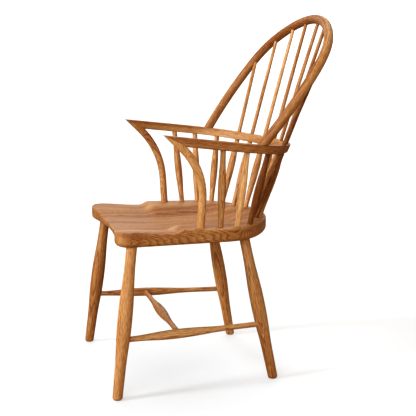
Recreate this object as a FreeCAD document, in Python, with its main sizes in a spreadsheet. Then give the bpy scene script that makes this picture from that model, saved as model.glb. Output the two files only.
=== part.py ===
"""Windsor armchair in oiled oak: a dished seat of four glued boards, four turned legs with an
H of three stretchers, a bent arm bow on two curved posts and six short spindles, and a bent
back bow filled by eight long spindles that pass through the arm bow.

Frame: millimetres, +Z up, origin on the floor in the middle of the chair.  The sitter faces -Y
and the sitter's left is +X.  Every round piece is turned about its own Z axis and then laid
between the two points that it joins.
"""
import FreeCAD, Part
import math
import os
import Sketcher

Vector = FreeCAD.Vector
Rotation = FreeCAD.Rotation
Placement = FreeCAD.Placement
UP = Vector(0, 0, 1)
ACROSS = Vector(1, 0, 0)
ORIGIN = Vector(0, 0, 0)
SIDES = (("left", 1), ("right", -1))

doc = FreeCAD.newDocument("WindsorChair")

# Driving sizes, millimetres and degrees
SIZES = (
    ("glue_gap", 0.1, "room for glue all round a tenon"),
    ("socket_relief", 1.0, "a blind socket is deeper than its tenon by this"),
    ("overrun", 60.0, "how far a cutting solid runs past the wood"),
    # seat
    ("deck_height", 461.0, "raised deck of the seat above the floor"),
    ("seat_thickness", 42.0, "deck to the flat underside"),
    ("seat_width", 494.0, "across the seat where its round back starts"),
    ("seat_front_width", 506.0, "across the seat behind its front corners"),
    ("seat_wide_place", -12.4, "Y of the line where the round back starts"),
    ("seat_back_reach", 182.0, "from that line to the rear edge"),
    ("seat_front_reach", 289.0, "from that line to the middle of the front edge"),
    ("seat_shoulder_radius", 145.0, "sides of the round back in plan"),
    ("seat_corner_radius", 44.0, "front corners in plan"),
    ("seat_front_radius", 1050.0, "gentle hollow of the front edge in plan"),
    ("seat_top_round", 4.0, "rounding of the upper edge"),
    ("seat_under_round", 16.0, "rounding of the lower edge"),
    ("seat_board_width", 122.0, "width of the two middle boards"),
    ("dish_depth", 24.0, "lowest place of the dish below the deck"),
    ("front_lip_drop", 18.0, "middle of the front edge below the deck"),
    ("front_corner_rise", 2.0, "front corners above the deck"),
    ("deck_rise", 2.5, "deck at the top of the ramp above the deck at the back"),
    ("ramp_drop", 7.5, "front part of the seat's side below the deck"),
    ("ramp_place", -134.9, "Y where the deck ends and the ramp starts down"),
    ("ramp_length", 27.0, "ramp, front to back"),
    # legs
    ("leg_top_diameter", 29.5, "leg where it enters the seat"),
    ("leg_swell_diameter", 41.0, "leg at its thickest"),
    ("leg_ankle_diameter", 29.8, "leg where its foot starts"),
    ("leg_foot_diameter", 27.4, "leg at the floor"),
    ("leg_tenon_length", 20.0, "leg inside the seat"),
    ("foot_spare", 8.0, "rough foot that is sawn off level with the floor"),
    ("foot_round", 7.0, "rounding round the sole of a foot"),
    ("front_foot_out", 269.3, "front foot from the middle plane"),
    ("front_foot_place", -331.9, "Y of the front foot"),
    ("front_hip_out", 225.5, "front leg at the underside of the seat, from the middle plane"),
    ("front_hip_place", -277.4, "Y of the front leg at the underside of the seat"),
    ("rear_foot_out", 218.8, "rear foot from the middle plane"),
    ("rear_foot_place", 139.1, "Y of the rear foot"),
    ("rear_hip_out", 184.7, "rear leg at the underside of the seat, from the middle plane"),
    ("rear_hip_place", 58.1, "Y of the rear leg at the underside of the seat"),
    # stretchers
    ("stretcher_height", 164.0, "stretchers above the floor"),
    ("stretcher_end_diameter", 15.2, "side stretcher at its ends"),
    ("stretcher_swell_diameter", 27.0, "side stretcher at its thickest"),
    ("stretcher_stop", 3.0, "side stretcher ends this short of a leg's axis"),
    ("cross_end_diameter", 15.0, "cross stretcher at its ends"),
    ("cross_swell_diameter", 28.6, "cross stretcher in its middle"),
    ("cross_stop", 2.0, "cross stretcher ends this short of a side stretcher's axis"),
    # arm bow
    ("arm_bow_height", 704.1, "top of the arm bow above the floor at Y = 0"),
    ("arm_slope", 6.8, "angle at which the arm bow falls to the back"),
    ("arm_lean", 18.0, "angle at which its upright faces lean back"),
    ("arm_half_span", 288.4, "middle plane to the middle of an arm at its widest"),
    ("arm_width", 25.4, "arm bow across its top"),
    ("arm_thickness", 24.3, "arm bow from its top to its underside"),
    ("arm_wide_place", 22.9, "widest line of the arm bow, along its top from Y = 0"),
    ("arm_corner_radius", 160.0, "where an arm turns into the back"),
    ("arm_side_radius", 2200.0, "gentle inward curve of an arm towards its tip"),
    ("arm_tip_reach", 222.0, "from the widest line forward to the sharp tip of an arm"),
    ("arm_round", 3.0, "rounding of the long edges of the arm bow"),
    ("mitre_angle", 27.0, "slope of the long joint between an arm and its post"),
    # back bow
    ("bow_foot_place", 79.4, "Y where the back bow stands on the arm bow"),
    ("bow_lean", 36.2, "angle at which the plane of the back bow leans back"),
    ("bow_diameter", 26.8, "thickness of the back bow"),
    ("bow_height", 427.5, "up the plane of the bow to the middle of its crest"),
    ("bow_half_width", 300.0, "middle plane to the middle of the bow at its widest"),
    ("bow_wide_height", 146.0, "up the plane of the bow to its widest place"),
    ("bow_side_radius", 520.0, "sides of the back bow"),
    ("bow_shoulder_radius", 165.0, "shoulders of the back bow"),
    ("bow_crest_radius", 380.0, "crest of the back bow"),
    ("bow_foot_spare", 24.0, "bow below the arm bow's top before it is sawn to fit"),
    ("bow_tenon_diameter", 16.0, "tenon under each foot of the back bow"),
    ("bow_tenon_length", 15.0, "that tenon inside the arm bow"),
    # spindles
    ("spindle_base_diameter", 14.0, "long spindle at the seat"),
    ("spindle_swell_diameter", 22.0, "long spindle at its thickest"),
    ("spindle_under_diameter", 15.0, "long spindle just under the arm bow"),
    ("spindle_over_diameter", 11.8, "long spindle just above the arm bow"),
    ("spindle_top_diameter", 10.4, "long spindle at the back bow"),
    ("spindle_clearance", 6.0, "the taper through the arm bow starts and ends this far out"),
    ("spindle_tenon_length", 20.0, "long spindle inside the seat"),
    ("short_base_diameter", 15.0, "short spindle at the seat"),
    ("short_swell_diameter", 22.5, "short spindle at its thickest"),
    ("short_top_diameter", 15.0, "short spindle at the arm"),
    ("short_tenon_length", 15.0, "short spindle inside the seat or inside the arm bow"),
    # arm posts
    ("post_base_out", 228.3, "post at the deck, from the middle plane"),
    ("post_base_place", -82.9, "Y of the post at the deck"),
    ("post_base_diameter", 21.5, "post at the deck"),
    ("post_tenon_length", 24.0, "post inside the seat"),
    ("post_curve_radius", 215.0, "forward curve of the post"),
    ("post_top_lean", 45.0, "angle from upright at which the post meets the arm"),
)

# Long spindles of one half, from the middle outwards: where each one passes the arm bow, as a
# share of the arms' half span, how far outside the centre line of the arm bow, as a share of its
# width, and where it meets the back bow, as a share of the back bow's half width
LONG_SPINDLE_SHARES = (
    (0.0995, -0.134, 0.1633),
    (0.3236, -0.080, 0.4333),
    (0.5360, -0.042, 0.7200),
    (0.7246, 0.150, 0.9367),
)
# Seat end of the two middle ones: share of the way from the seat's widest line to its rear edge
REAR_SPINDLE_SHARE = 0.9253
# Back of the arm bow behind the crossing of the two middle ones, as a share of its width
ARM_BACK_SHARE = 0.18
# Short spindles of one side: the seat end as a share of half the seat's width and, behind its
# widest line, of its back reach, and the arm end behind the arm's widest line as a share of the
# reach of its tip
SHORT_SPINDLE_SHARES = (
    ("front", 0.9206, -0.0665, -0.2438),
    ("middle", 0.9049, 0.2066, 0.0738),
    ("back", 0.8227, 0.4440, 0.3913),
)

# Places along the free length of a turned piece, from its start
LEG_ANKLE_SHARE = 0.15
LEG_SWELL_SHARE = 0.53
LEG_NECK_SHARE = 0.93
SIDE_SHARES = (0.03, 0.37, 0.78)
CROSS_SHARES = (0.19, 0.50, 0.81)
LONG_SWELL_SHARE = 0.64
SHORT_SWELL_SHARE = 0.48
# Place of the cross stretcher along a side stretcher, from the front
CROSS_PLACE_SHARE = 0.39
# Dish of the seat: its floor and the top of its wall, as shares of the way out to the edge
FLOOR_SHARE = 0.25
WALL_SHARE = 0.80
# Number of stations along the dish, and along and round an arm post
DISH_STATIONS = 37
POST_STATIONS = 12
POST_POINTS = 16
# An arm post is round at the seat and nearly square at the arm: powers of its oval outline
ROUND_POWER = 2.0
SQUARE_POWER = 5.0
# It leans out fast at the seat and is upright, seen from the front, at the arm
POST_EASE_POWER = 6


def new_sheet(name):
    sheet = doc.addObject("Spreadsheet::Sheet", name)
    sheet.Label = name
    return sheet


def put(sheet, row, alias, value, note=""):
    """One named number in a sheet: the note in column A, the number in column B."""
    sheet.set("A%d" % row, note or alias)
    sheet.set("B%d" % row, "%.6f" % value)
    sheet.setAlias("B%d" % row, alias)


sizes = new_sheet("Sizes")
for row, (alias, value, note) in enumerate(SIZES, start=1):
    put(sizes, row, alias, value, note)
spans = new_sheet("Spans")
doc.recompute()
span_count = 0


def mm(alias):
    """The value of a driving size."""
    return float(sizes.get(alias))


def span(alias, value, note=""):
    """Keep a length worked out from the driving sizes as a named cell of its own."""
    global span_count
    span_count += 1
    put(spans, span_count, alias, value, note)
    doc.recompute([spans])
    return "Spans." + alias


def value_of(expression):
    return float(sizes.evalExpression(expression))


def add(kind, label):
    thing = doc.addObject(kind, label)
    thing.Label = label
    return thing


def lay(start, end):
    """Placement that puts a piece's own Z axis on the line from start to end."""
    return Placement(start, Rotation(UP, end - start))


def along(start, end, share):
    return start + (end - start) * share


def origin_plane(body, role):
    return [f for f in body.Origin.OriginFeatures if f.Role == role][0]


def new_sketch(body, name, role, offset=None):
    sketch = body.newObject("Sketcher::SketchObject", name)
    sketch.AttachmentSupport = [(origin_plane(body, role), "")]
    sketch.MapMode = "FlatFace"
    if offset:
        sketch.AttachmentOffset = offset
    return sketch


def dimension(sketch, kind, places, expression):
    """A sketch dimension whose value comes from an expression on the sheets."""
    index = sketch.addConstraint(Sketcher.Constraint(kind, *places, value_of(expression)))
    name = "size%d" % index
    sketch.renameConstraint(index, name)
    sketch.setExpression("Constraints." + name, expression)


def arc_between(start, end, centre):
    """The short arc between two points round a centre, drawn anticlockwise."""
    first = start - centre
    second = end - centre
    if first.cross(second).z < 0:
        first, second = second, first
    angles = [math.atan2(arm.y, arm.x) for arm in (first, second)]
    if angles[1] < angles[0]:
        angles[1] += 2 * math.pi
    return Part.ArcOfCircle(Part.Circle(centre, UP, first.Length), *angles)


def ogee(sketch, low, high):
    """Two equal arcs, tangent in the middle, that leave low and reach high along the axis."""
    rise = high.y - low.y
    swell = high.x - low.x
    radius = (rise ** 2 + swell ** 2) / (4 * abs(swell))
    outward = Vector(math.copysign(radius, swell), 0, 0)
    middle = (low + high) / 2
    first = sketch.addGeometry(arc_between(low, middle, low + outward))
    second = sketch.addGeometry(arc_between(middle, high, high - outward))
    return first, second


def nearest_end(sketch, index, point):
    """1 for the start and 2 for the end of a drawn edge, whichever lies at the point."""
    edge = sketch.Geometry[index]
    at_start = edge.StartPoint.distanceToPoint(point) < edge.EndPoint.distanceToPoint(point)
    return 1 if at_start else 2


def join(sketch, first, second, point):
    """Join two drawn edges at a point that both reach."""
    here = nearest_end(sketch, first, point)
    there = nearest_end(sketch, second, point)
    sketch.addConstraint(Sketcher.Constraint("Coincident", first, here, second, there))


def turned(label, stations, start, end):
    """A round piece as a lathe makes it.

    stations go from start to end; each is (height, diameter, shape), the first two as
    expressions and shape "line" or "curve" for the way there from the station before.
    """
    body = add("PartDesign::Body", label)
    sketch = new_sketch(body, label + "_profile", "XZ_Plane")
    points = [Vector(value_of(d) / 2, value_of(h), 0) for h, d, _ in stations]
    sole = Vector(0, points[0].y, 0)
    crown = Vector(0, points[-1].y, 0)
    edges = [sketch.addGeometry(Part.LineSegment(sole, points[0]))]
    joints = [(points[0], stations[0][0], "(%s) / 2" % stations[0][1])]
    arcs = []
    for index in range(1, len(stations)):
        before, here = stations[index - 1], stations[index]
        low, high = points[index - 1], points[index]
        if here[2] == "curve":
            edges.extend(ogee(sketch, low, high))
            rise = "((%s) - (%s))" % (here[0], before[0])
            swell = "(((%s) - (%s)) / 2)" % (here[1], before[1])
            radius = "(%s ^ 2 + %s ^ 2) / (4 * abs(%s))" % (rise, swell, swell)
            arcs.extend(((edges[-2], radius), (edges[-1], radius)))
            joints.append(((low + high) / 2, "((%s) + (%s)) / 2" % (here[0], before[0]),
                           "((%s) + (%s)) / 4" % (here[1], before[1])))
        else:
            edges.append(sketch.addGeometry(Part.LineSegment(low, high)))
        joints.append((high, here[0], "(%s) / 2" % here[1]))
    edges.append(sketch.addGeometry(Part.LineSegment(points[-1], crown)))
    edges.append(sketch.addGeometry(Part.LineSegment(crown, sole)))
    for index, (point, height, radius) in enumerate(joints):
        join(sketch, edges[index], edges[index + 1], point)
        reached = nearest_end(sketch, edges[index], point)
        dimension(sketch, "DistanceX", (-1, 1, edges[index], reached), radius)
        dimension(sketch, "DistanceY", (-1, 1, edges[index], reached), height)
    for edge, radius in arcs:
        dimension(sketch, "Radius", (edge,), radius)
    join(sketch, edges[-2], edges[-1], crown)
    join(sketch, edges[-1], edges[0], sole)
    sketch.addConstraint(Sketcher.Constraint("Horizontal", edges[0]))
    sketch.addConstraint(Sketcher.Constraint("Horizontal", edges[-2]))
    sketch.addConstraint(Sketcher.Constraint("PointOnObject", edges[0], 1, -2))
    sketch.addConstraint(Sketcher.Constraint("PointOnObject", edges[-2], 2, -2))
    turn = body.newObject("PartDesign::Revolution", label + "_turning")
    turn.Profile = sketch
    turn.ReferenceAxis = (sketch, ["V_Axis"])
    turn.Angle = 360
    sketch.Visibility = False
    body.Placement = lay(start, end)
    return body


def drill(label, mouth, bottom, diameter):
    """The solid that a drill takes out: from a little outside the mouth to the bottom."""
    tool = add("Part::Cylinder", label)
    outside = mouth + (mouth - bottom).normalize() * mm("overrun")
    tool.setExpression("Radius", "(%s) / 2 + Sizes.glue_gap" % diameter)
    tool.Height = (bottom - outside).Length
    tool.Placement = lay(outside, bottom)
    return tool


def cut(label, base, tools):
    """base less every tool."""
    tool = tools[0]
    if len(tools) > 1:
        tool = add("Part::Compound", label + "_tools")
        tool.Links = tools
    result = add("Part::Cut", label)
    result.Base = base
    result.Tool = tool
    return result


def block(label, corner, rotation, length, width, height):
    """A block for sawing: its lowest corner, its turn, and its sides as expressions."""
    box = add("Part::Box", label)
    box.setExpression("Length", length)
    box.setExpression("Width", width)
    box.setExpression("Height", height)
    box.Placement = Placement(corner, rotation)
    return box


def rounded(label, base, radius, chosen):
    """base with the chosen edges rounded."""
    doc.recompute()
    fillet = add("Part::Fillet", label)
    fillet.Base = base
    edges = enumerate(base.Shape.Edges, start=1)
    fillet.Edges = [(index, radius, radius) for index, edge in edges if chosen(edge)]
    return fillet


def outline(sketch, name, edges):
    """A closed outline of lines and arcs.

    Each edge is (its first point, the centre of its arc or None, the radius as an expression).
    Every point is held by two dimensions and every arc by its radius.
    """
    count = len(edges)
    for index, (start, centre, radius) in enumerate(edges):
        end = edges[(index + 1) % count][0]
        if centre is None:
            sketch.addGeometry(Part.LineSegment(start, end))
        else:
            sketch.addGeometry(arc_between(start, end, centre))
    for index, (start, centre, radius) in enumerate(edges):
        join(sketch, (index - 1) % count, index, start)
        mine = nearest_end(sketch, index, start)
        across = span("%s_x%d" % (name, index), start.x)
        forward = span("%s_y%d" % (name, index), start.y)
        dimension(sketch, "DistanceX", (-1, 1, index, mine), across)
        dimension(sketch, "DistanceY", (-1, 1, index, mine), forward)
        if centre is not None:
            dimension(sketch, "Radius", (index,), radius)


def touching_centre(first, first_distance, second, second_distance, side):
    """The point at given distances from two centres, on the side where X is larger for side 1."""
    gap = (second - first).Length
    ahead = (second - first) / gap
    reach = (first_distance ** 2 - second_distance ** 2 + gap ** 2) / 2 / gap
    height = math.sqrt(first_distance ** 2 - reach ** 2)
    sideways = Vector(-ahead.y, ahead.x, 0) * height
    if sideways.x * side < 0:
        sideways = -sideways
    return first + ahead * reach + sideways


def end_arc_radius(reach, corner_radius, half_width):
    """Radius of the arc across the end of an oval whose corner arcs are tangent to its sides."""
    corner_out = half_width - corner_radius
    return (corner_out ** 2 + reach ** 2 - corner_radius ** 2) / 2 / (reach - corner_radius)


def make_leg(name, foot, hip):
    """A swelling leg, sawn level at the floor, its top a plain tenon in the seat."""
    length = span(name + "_length", (hip - foot).Length, "floor to the underside of the seat")
    stations = (
        ("-Sizes.foot_spare", "Sizes.leg_foot_diameter", "line"),
        ("0", "Sizes.leg_foot_diameter", "line"),
        ("%s * %g" % (length, LEG_ANKLE_SHARE), "Sizes.leg_ankle_diameter", "line"),
        ("%s * %g" % (length, LEG_SWELL_SHARE), "Sizes.leg_swell_diameter", "curve"),
        ("%s * %g" % (length, LEG_NECK_SHARE), "Sizes.leg_top_diameter", "curve"),
        ("%s + Sizes.leg_tenon_length" % length, "Sizes.leg_top_diameter", "line"),
    )
    leg = turned(name + "_turned", stations, foot, hip)
    corner = foot - Vector(1, 1, 1) * mm("overrun")
    saw = block(name + "_saw", corner, Rotation(), "2 * Sizes.overrun", "2 * Sizes.overrun",
                "Sizes.overrun")
    level = cut(name + "_level", leg, [saw])
    return rounded(name + "_soled", level, mm("foot_round"),
                   lambda edge: edge.BoundBox.ZMax < mm("glue_gap"))


def make_stretcher(label, start, end, end_diameter, swell_diameter, shares):
    """A stretcher that swells once between two plain ends."""
    length = span(label + "_length", (end - start).Length, "between its two ends")
    low, swell, high = shares
    stations = (
        ("0", end_diameter, "line"),
        ("%s * %g" % (length, low), end_diameter, "line"),
        ("%s * %g" % (length, swell), swell_diameter, "curve"),
        ("%s * %g" % (length, high), end_diameter, "curve"),
        (length, end_diameter, "line"),
    )
    return turned(label, stations, start, end)


# Lines of the seat that other pieces are placed from
SEAT_WIDE = mm("seat_wide_place")
SEAT_FRONT = SEAT_WIDE - mm("seat_front_reach")
SEAT_REAR = SEAT_WIDE + mm("seat_back_reach")

# Arm bow: its own plane is its top, which falls to the back
arm_turn = Rotation(ACROSS, -mm("arm_slope"))
arm_base = Vector(0, 0, mm("arm_bow_height"))
arm_down = Vector(0, -math.sin(math.radians(mm("arm_lean"))), -math.cos(math.radians(mm("arm_lean"))))
ARM_WIDE = mm("arm_wide_place")


def in_arm(out, forward, depth):
    """A point of the chair: in the arm bow, at a depth below its top measured square to it."""
    slide = arm_down * (depth / abs(arm_down.z))
    return arm_base + arm_turn.multVec(Vector(out, forward, 0) + slide)


def height_on(line_start, direction, plane_point):
    """Length along a line from its start to a plane parallel to the arm bow's top."""
    normal = arm_turn.multVec(UP)
    return (plane_point - line_start).dot(normal) / direction.dot(normal)


# Back bow: its own plane leans back from the arm bow, X across and Y up the plane
bow_turn = Rotation(ACROSS, 90 - mm("bow_lean"))
bow_foot_forward = mm("bow_foot_place") / math.cos(math.radians(mm("arm_slope")))
bow_base = in_arm(0, bow_foot_forward, 0)
BOW_SIDE = Vector(mm("bow_half_width") - mm("bow_side_radius"), mm("bow_wide_height"), 0)
BOW_CREST = Vector(0, mm("bow_height") - mm("bow_crest_radius"), 0)
BOW_SHOULDER = touching_centre(BOW_SIDE, mm("bow_side_radius") - mm("bow_shoulder_radius"),
                               BOW_CREST, mm("bow_crest_radius") - mm("bow_shoulder_radius"), 1)


def bow_side_point(height):
    reach = math.sqrt(mm("bow_side_radius") ** 2 - (height - BOW_SIDE.y) ** 2)
    return Vector(BOW_SIDE.x + reach, height, 0)


def bow_top_point(out):
    """The point of the bow's centre line at a distance from the middle, on its upper part."""
    crest_end = BOW_CREST + (BOW_SHOULDER - BOW_CREST).normalize() * mm("bow_crest_radius")
    centre, radius = BOW_CREST, mm("bow_crest_radius")
    if out > crest_end.x:
        centre, radius = BOW_SHOULDER, mm("bow_shoulder_radius")
    return Vector(out, centre.y + math.sqrt(radius ** 2 - (out - centre.x) ** 2), 0)


def in_bow(point):
    """A point of the bow's own plane as a point of the chair."""
    return bow_base + bow_turn.multVec(point)


def flip(point):
    return Vector(-point.x, point.y, point.z)


# The back of the arm bow is bent to pass the two middle spindles
arm_under = in_arm(0, 0, mm("arm_thickness"))
arm_middle = in_arm(0, 0, mm("arm_thickness") / 2)
rear_base = Vector(0, SEAT_WIDE + REAR_SPINDLE_SHARE * mm("seat_back_reach"), mm("deck_height"))
rear_top = in_bow(bow_top_point(LONG_SPINDLE_SHARES[0][2] * mm("bow_half_width")))
rear_way = (rear_top - rear_base).normalize()
rear_crossing = rear_base + rear_way * height_on(rear_base, rear_way, arm_middle)
rear_crossing = arm_turn.inverted().multVec(rear_crossing - arm_middle)
arm_back_reach = rear_crossing.y - ARM_WIDE + ARM_BACK_SHARE * mm("arm_width")
span("arm_back_reach", arm_back_reach, "from the widest line of the arm bow to its back")
arm_back_radius = end_arc_radius(arm_back_reach, mm("arm_corner_radius"), mm("arm_half_span"))
span("arm_back_radius", arm_back_radius, "centre line of the back of the arm bow")
ARM_CORNER = Vector(mm("arm_half_span") - mm("arm_corner_radius"), ARM_WIDE, 0)
ARM_BACK = Vector(0, ARM_WIDE + arm_back_reach - arm_back_radius, 0)
ARM_SIDE = Vector(mm("arm_half_span") - mm("arm_side_radius"), ARM_WIDE, 0)
ARM_AWAY = (ARM_CORNER - ARM_BACK).normalize()


def arm_out(forward):
    """Middle plane to the centre line of the arm bow, forward or back along its top."""
    centre, radius = ARM_CORNER, mm("arm_corner_radius")
    if forward < ARM_WIDE:
        centre, radius = ARM_SIDE, mm("arm_side_radius")
    elif forward > ARM_WIDE + ARM_AWAY.y * radius:
        centre, radius = ARM_BACK, arm_back_radius
    return centre.x + math.sqrt(radius ** 2 - (forward - centre.y) ** 2)


def arm_crossing(out, beyond):
    """The place of a spindle in the back of the arm bow: out from the middle plane, and beyond
    the centre line of the bow."""
    centre, radius = ARM_BACK, arm_back_radius
    if out > (ARM_CORNER + ARM_AWAY * mm("arm_corner_radius")).x:
        centre, radius = ARM_CORNER, mm("arm_corner_radius")
    forward = centre.y + math.sqrt((radius + beyond) ** 2 - (out - centre.x) ** 2)
    return in_arm(out, forward, mm("arm_thickness") / 2)


def arm_outline(sketch):
    half = mm("arm_width") / 2
    tip = ARM_WIDE - mm("arm_tip_reach") - mm("arm_thickness")
    centres = [ARM_SIDE, ARM_CORNER, ARM_BACK, flip(ARM_CORNER), flip(ARM_SIDE)]
    radii = ["Sizes.arm_side_radius", "Sizes.arm_corner_radius", "Spans.arm_back_radius",
             "Sizes.arm_corner_radius", "Sizes.arm_side_radius"]
    edges = []
    for offset, sign in ((half, "+"), (-half, "-")):
        side_radius = mm("arm_side_radius") + offset
        tip_out = ARM_SIDE.x + math.sqrt(side_radius ** 2 - (tip - ARM_SIDE.y) ** 2)
        widest = Vector(mm("arm_half_span") + offset, ARM_WIDE, 0)
        turn = ARM_CORNER + ARM_AWAY * (mm("arm_corner_radius") + offset)
        left = [Vector(tip_out, tip, 0), widest, turn]
        points = left + [flip(point) for point in reversed(left)]
        if offset < 0:
            points.reverse()
            centres.reverse()
        for index, centre in enumerate(centres):
            edges.append((points[index], centre, radii[index] + sign + "Sizes.arm_width / 2"))
        edges.append((points[-1], None, None))
    outline(sketch, "arm_outline", edges)


def make_arm_bow():
    """The bent bow as one even bar, its top and bottom edges rounded."""
    body = add("PartDesign::Body", "arm_bow_bar")
    sketch = new_sketch(body, "arm_bow_outline", "XY_Plane")
    arm_outline(sketch)
    pad = body.newObject("PartDesign::Pad", "arm_bow_pad")
    pad.Profile = sketch
    pad.UseCustomVector = True
    pad.Direction = arm_down
    pad.AlongSketchNormal = True
    pad.setExpression("Length", "Sizes.arm_thickness")
    sketch.Visibility = False
    doc.recompute()
    fillet = body.newObject("PartDesign::Fillet", "arm_bow_rounds")
    long_edges = []
    for index, edge in enumerate(pad.Shape.Edges, start=1):
        if edge.Curve.TypeId == "Part::GeomCircle" and edge.BoundBox.ZLength < mm("glue_gap"):
            long_edges.append("Edge%d" % index)
    fillet.Base = (pad, long_edges)
    fillet.setExpression("Radius", "Sizes.arm_round")
    body.Placement = Placement(arm_base, arm_turn)
    return body


# Long mitre between an arm and its post: a plane through the sharp tip of the arm
mitre_turn = Rotation(ACROSS, -mm("mitre_angle"))
mitre_tip = in_arm(0, ARM_WIDE - mm("arm_tip_reach"), 0)
mitre_length = mm("arm_thickness") / math.sin(math.radians(mm("mitre_angle") - mm("arm_slope")))
mitre_heel = mitre_tip + mitre_turn.multVec(Vector(0, mitre_length, 0))
mitre_middle = (mitre_tip + mitre_heel) / 2
mitre_span = span("mitre_length", mitre_length, "length of that joint")


def mitre_saw(label, above):
    """A block that takes away what is above the mitre plane, or what is below it."""
    corner = Vector(-mm("arm_half_span") - mm("overrun"), -mm("overrun"), 0)
    if not above:
        corner.z = -2 * mm("overrun")
    place = mitre_tip + mitre_turn.multVec(corner)
    return block(label, place, mitre_turn, "2 * (Sizes.arm_half_span + Sizes.overrun)",
                 mitre_span + " + 2 * Sizes.overrun", "2 * Sizes.overrun")


class PostLine:
    """Centre line of an arm post: up from the deck, then in an arc forward to the mitre."""

    def __init__(self, side):
        lean = math.radians(mm("post_top_lean"))
        self.side = side
        self.radius = mm("post_curve_radius")
        self.lean = lean
        self.base = Vector(mm("post_base_out"), mm("post_base_place"), mm("deck_height"))
        forward = self.base.y - mitre_middle.y
        rise = mitre_middle.z - self.base.z
        arc_forward = self.radius * (1 - math.cos(lean))
        self.last = (forward - arc_forward) / math.sin(lean)
        self.first = rise - self.radius * math.sin(lean) - self.last * math.cos(lean)
        self.length = self.first + self.radius * lean + self.last
        self.top_out = arm_out((mitre_middle.y - arm_base.y) / math.cos(math.radians(mm("arm_slope"))))

    def at(self, along_line):
        """The point at a length along the line, which may run past both ends."""
        turn = min(max((along_line - self.first) / self.radius, 0), self.lean)
        rise = min(along_line, self.first) + self.radius * math.sin(turn)
        forward = self.radius * (1 - math.cos(turn))
        rest = max(along_line - self.first - self.radius * self.lean, 0)
        rise += rest * math.cos(self.lean)
        forward += rest * math.sin(self.lean)
        way = rise / (mitre_heel.z - self.base.z)
        way = min(way, 1)
        curl = max(way, 0) ** POST_EASE_POWER
        ease = way + (way - curl) / (POST_EASE_POWER - 1)
        out = self.base.x + (self.top_out - self.base.x) * ease
        return Vector(self.side * out, self.base.y - forward, self.base.z + rise)

    def direction(self, along_line):
        step = mm("socket_relief")
        return (self.at(along_line + step) - self.at(along_line - step)).normalize()


def oval(centre, across, onward, width, depth, power):
    """A closed smooth outline between a circle (power 2) and a square."""
    points = []
    for index in range(POST_POINTS):
        turn = 2 * math.pi * index / POST_POINTS
        cosine, sine = math.cos(turn), math.sin(turn)
        reach_x = math.copysign(abs(cosine) ** (2 / power), cosine) * width / 2
        reach_y = math.copysign(abs(sine) ** (2 / power), sine) * depth / 2
        points.append(centre + across * reach_x + onward * reach_y)
    curve = Part.BSplineCurve()
    curve.interpolate(Points=points, PeriodicFlag=True)
    return curve.toShape()


def make_post(name, side):
    """A post that is round at the seat and nearly square at the arm, before it is mitred."""
    line = PostLine(side)
    between = math.radians(90 - mm("post_top_lean") - mm("mitre_angle"))
    top_depth = mitre_length * math.sin(between)
    start = -mm("post_tenon_length")
    end = line.length + mitre_length
    sections = []
    for index in range(POST_STATIONS):
        along_line = start + (end - start) * index / (POST_STATIONS - 1)
        way = min(max((along_line - line.first) / (line.length - mitre_length / 2 - line.first), 0), 1)
        way = way * way * (3 - 2 * way)
        width = mm("post_base_diameter") + (mm("arm_width") - mm("post_base_diameter")) * way
        depth = mm("post_base_diameter") + (top_depth - mm("post_base_diameter")) * way
        power = ROUND_POWER + (SQUARE_POWER - ROUND_POWER) * way
        onward = line.direction(along_line)
        across = (ACROSS - onward * ACROSS.dot(onward)).normalize()
        section = add("Part::Feature", "%s_section_%d" % (name, index + 1))
        section.Shape = Part.Wire(oval(line.at(along_line), across, onward.cross(across),
                                       width, depth, power))
        sections.append(section)
    loft = add("Part::Loft", name + "_bent")
    loft.Sections = sections
    loft.Solid = True
    return loft


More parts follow.
